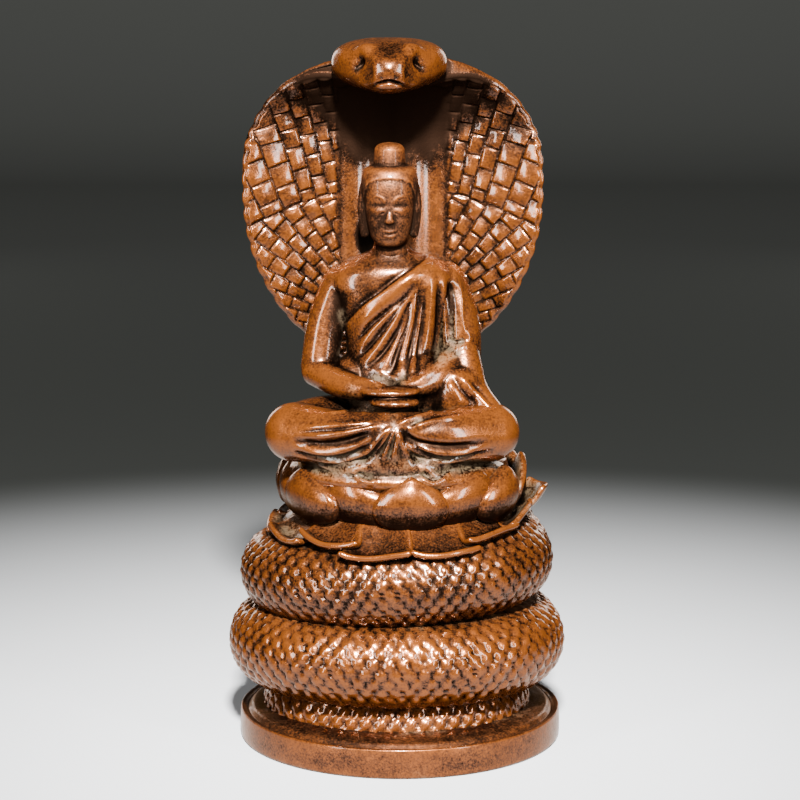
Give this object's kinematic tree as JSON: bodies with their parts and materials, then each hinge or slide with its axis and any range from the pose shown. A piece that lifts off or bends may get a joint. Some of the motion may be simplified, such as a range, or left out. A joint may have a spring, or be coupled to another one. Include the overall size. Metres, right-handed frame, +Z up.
{
  "type": "naga buddha figurine",
  "caption": "Cast figurine of a robed figure seated on a lotus, on the coils and under the spread hood of a snake, on a round plinth.",
  "frame": {"origin": "centre of the round plinth's underside", "axes": "+Z up through the snake's head, -Y to the front where the figure looks, +X to the right of someone facing it"},
  "size_m": [0.0474, 0.046, 0.0999],
  "materials": {
    "patinated_bronze": "cast copper alloy under a glossy red-brown patina, orange-brown where it is rubbed and dark in the hollows"
  },
  "bodies": {
    "root": {"naga_buddha": "patinated_bronze"}
  },
  "joints": []
}
